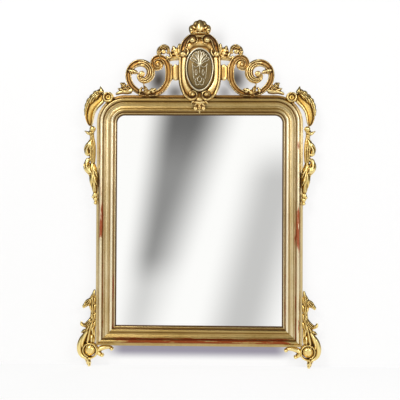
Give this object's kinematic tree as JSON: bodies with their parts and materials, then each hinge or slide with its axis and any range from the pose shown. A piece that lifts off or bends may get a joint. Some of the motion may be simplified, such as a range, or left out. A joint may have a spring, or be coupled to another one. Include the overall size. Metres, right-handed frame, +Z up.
{
  "type": "overmantel mirror",
  "caption": "Tall wall mirror in a moulded gilt frame with rounded top corners, a pierced carved crest with an oval cartouche, side scrolls and scroll feet.",
  "frame": {"origin": "on the wall plane, on the back of the bottom rail, at the middle of the width", "axes": "+Y back into the wall, +Z up, +X to the right for someone who looks at the glass"},
  "size_m": [0.972, 0.0768, 1.3903],
  "materials": {
    "champagne_gilding": "pale gold leaf over red bole on gesso, burnished and rubbed",
    "rich_gilding": "warm gold leaf over red bole on carved wood, toned brown in the hollows",
    "hardwood": "bare oak",
    "backing_pine": "bare pine, brown with age",
    "silvered_glass": "silvered glass",
    "iron": "dark wrought iron"
  },
  "bodies": {
    "mirror": {"left_stile": "champagne_gilding", "left_corner_block": "champagne_gilding", "right_stile": "champagne_gilding", "right_corner_block": "champagne_gilding", "bottom_rail": "champagne_gilding", "top_rail": "champagne_gilding", "left_stile_tenon": "hardwood", "left_rail_tenon": "hardwood", "left_mitre_key": "hardwood", "left_lower_side_wedge": "hardwood", "left_upper_side_wedge": "hardwood", "right_stile_tenon": "hardwood", "right_rail_tenon": "hardwood", "right_mitre_key": "hardwood", "right_lower_side_wedge": "hardwood", "right_upper_side_wedge": "hardwood", "bottom_wedge": "hardwood", "top_wedge": "hardwood", "mirror_glass": "silvered_glass", "backing_plank_1": "backing_pine", "left_plank_nail_1": "iron", "right_plank_nail_1": "iron", "backing_plank_2": "backing_pine", "left_plank_nail_2": "iron", "right_plank_nail_2": "iron", "backing_plank_3": "backing_pine", "left_plank_nail_3": "iron", "right_plank_nail_3": "iron", "cartouche_body": "rich_gilding", "cartouche_boss": "champagne_gilding", "crest_finial": "rich_gilding", "pendant_leaf": "rich_gilding", "left_c_scroll": "rich_gilding", "left_leaf_scroll": "rich_gilding", "left_crest_bud": "rich_gilding", "left_shoulder_leaf": "rich_gilding", "left_corner_scroll": "rich_gilding", "left_side_drop": "rich_gilding", "left_foot_scroll": "rich_gilding", "left_inner_foot_scroll": "rich_gilding", "left_crest_batten": "backing_pine", "left_rail_screw": "iron", "left_crest_screw": "iron", "left_staple": "iron", "right_c_scroll": "rich_gilding", "right_leaf_scroll": "rich_gilding", "right_crest_bud": "rich_gilding", "right_shoulder_leaf": "rich_gilding", "right_corner_scroll": "rich_gilding", "right_side_drop": "rich_gilding", "right_foot_scroll": "rich_gilding", "right_inner_foot_scroll": "rich_gilding", "right_crest_batten": "backing_pine", "right_rail_screw": "iron", "right_crest_screw": "iron", "right_staple": "iron"},
    "left_ring": {"left_hanging_ring": "iron"},
    "right_ring": {"right_hanging_ring": "iron"}
  },
  "joints": [
    {"name": "left_ring_swing", "type": "hinge", "parent": "mirror", "child": "left_ring", "pos_m": [-0.23, 0.0036, 0.9387], "axis": [1, 0, 0], "range_deg": [0, 175]},
    {"name": "right_ring_swing", "type": "hinge", "parent": "mirror", "child": "right_ring", "pos_m": [0.23, 0.0036, 0.9387], "axis": [1, 0, 0], "range_deg": [0, 175]}
  ]
}
